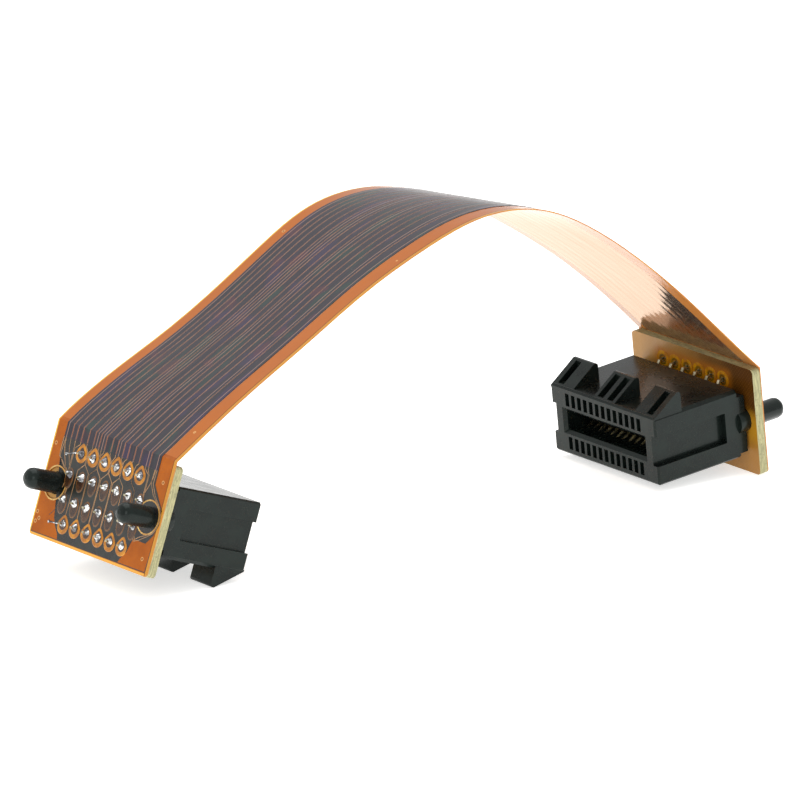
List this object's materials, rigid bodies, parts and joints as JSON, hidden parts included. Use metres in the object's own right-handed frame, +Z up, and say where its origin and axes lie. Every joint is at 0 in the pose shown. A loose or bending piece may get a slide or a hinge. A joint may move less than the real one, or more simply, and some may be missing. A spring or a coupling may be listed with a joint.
{
  "type": "graphics card bridge cable",
  "caption": "Flat flexible film cable, arched between two socket connectors on small boards, that joins the edge contacts of two neighbouring expansion cards.",
  "frame": {"origin": "middle of the bounding box in X and Y, at the level of the table that the cable stands on", "axes": "+Z up, +X along the span from the more leaning board to the more upright one, +Y across the strip"},
  "size_m": [0.0864, 0.0202, 0.0342],
  "materials": {
    "amber_film": "glossy amber film",
    "covered_copper": "dull sheen under clear film",
    "fibre_board": "matte glass-fibre board",
    "dark_plastic": "satin moulded plastic",
    "contact_metal": "bright plated",
    "solder": "bright solder"
  },
  "bodies": {
    "root": {"flex_circuit": "amber_film", "copper_tracks": "covered_copper", "left_stiffener_board": "fibre_board", "left_connector_housing": "dark_plastic", "left_contacts_row_a": "contact_metal", "left_solder_row_a": "solder", "left_contacts_row_b": "contact_metal", "left_solder_row_b": "solder", "left_contacts_row_c": "contact_metal", "left_solder_row_c": "solder", "left_contacts_row_d": "contact_metal", "left_solder_row_d": "solder", "right_stiffener_board": "fibre_board", "right_connector_housing": "dark_plastic", "right_contacts_row_a": "contact_metal", "right_solder_row_a": "solder", "right_contacts_row_b": "contact_metal", "right_solder_row_b": "solder", "right_contacts_row_c": "contact_metal", "right_solder_row_c": "solder", "right_contacts_row_d": "contact_metal", "right_solder_row_d": "solder"}
  },
  "joints": []
}
